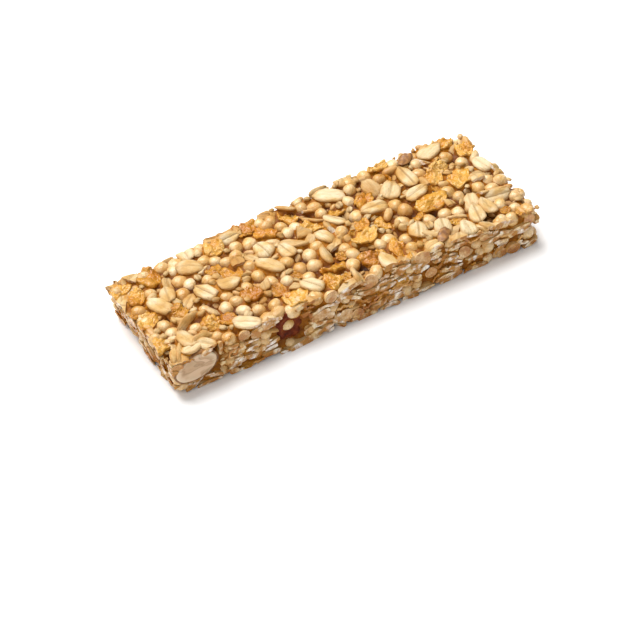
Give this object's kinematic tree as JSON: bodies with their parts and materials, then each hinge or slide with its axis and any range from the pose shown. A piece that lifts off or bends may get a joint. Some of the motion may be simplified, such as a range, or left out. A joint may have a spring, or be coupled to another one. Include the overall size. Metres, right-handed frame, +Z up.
{
  "type": "granola bar",
  "caption": "Pressed granola bar of rolled oats, puffed cereal balls, corn flakes and syrup, with a cut almond and a dried cranberry showing in its front side.",
  "frame": {"origin": "middle of the resting face, below the middle of the bar's box", "axes": "+X along the bar, away from the almond; -Y out of the front side that shows the almond and cranberry; +Z up"},
  "size_m": [0.1116, 0.0418, 0.0136],
  "materials": {
    "cereal": "syrup-bound oats and puffed cereal, satin",
    "almond": "cut nut flesh, satin",
    "cranberry": "sticky dried fruit, glossy"
  },
  "bodies": {
    "root": {"cereal_block": "cereal", "cut_almond": "almond", "cranberry_piece": "cranberry"}
  },
  "joints": []
}
